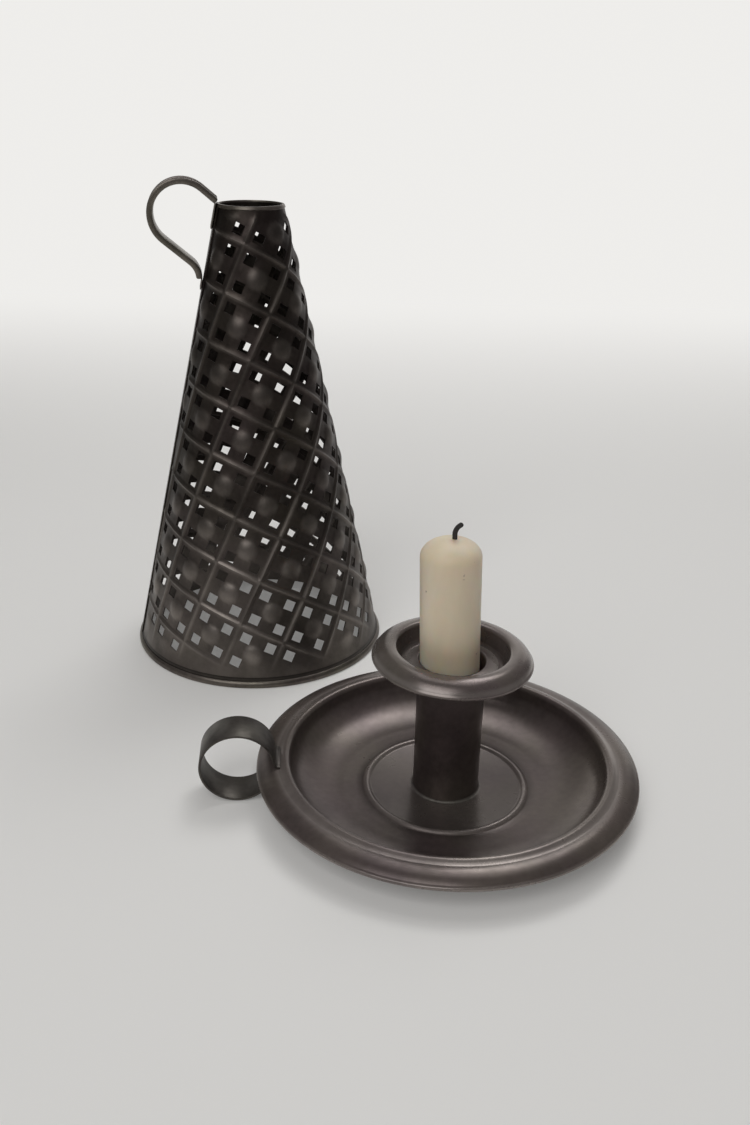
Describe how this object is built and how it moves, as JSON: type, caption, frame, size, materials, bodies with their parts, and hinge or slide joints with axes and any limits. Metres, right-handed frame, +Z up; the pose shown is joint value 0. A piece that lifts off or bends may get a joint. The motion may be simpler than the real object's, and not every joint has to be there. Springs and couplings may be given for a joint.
{
  "type": "punched tin candle lantern",
  "caption": "Tin chamberstick with a dish, finger ring, drip pan and candle, and a loose conical pierced shade with a strap handle standing beside it.",
  "frame": {"origin": "middle of the dish's flat underside, on the table", "axes": "+Z up along the candle socket, +X to the right and +Y away from the viewer, who has the finger ring on the left and the shade behind it"},
  "size_m": [0.2142, 0.2552, 0.209],
  "materials": {
    "tinned_sheet": "dull dark tin, rubbed brighter on edges",
    "pierced_sheet": "tarnished dark tin, paler towards the base",
    "solder": "dull grey solder",
    "wax": "smooth ivory candle wax",
    "cotton": "charred cotton cord"
  },
  "bodies": {
    "chamberstick": {"dish": "tinned_sheet", "socket_tube": "tinned_sheet", "socket_solder_fillet": "solder", "drip_pan": "tinned_sheet", "finger_ring": "tinned_sheet"},
    "candle": {"candle": "wax", "wick": "cotton"},
    "shade": {"shade_cone": "pierced_sheet", "shade_base_hoop": "pierced_sheet", "shade_strap": "pierced_sheet"}
  },
  "joints": [
    {"name": "candle_lift", "type": "slide", "parent": "chamberstick", "child": "candle", "axis": [-0.0273, 0, 0.9996], "range_m": [0, 0.06]},
    {"name": "shade_carry", "type": "slide", "parent": "chamberstick", "child": "shade", "axis": [0.306, -0.4553, 0.8361], "range_m": [0, 0.2751]}
  ]
}
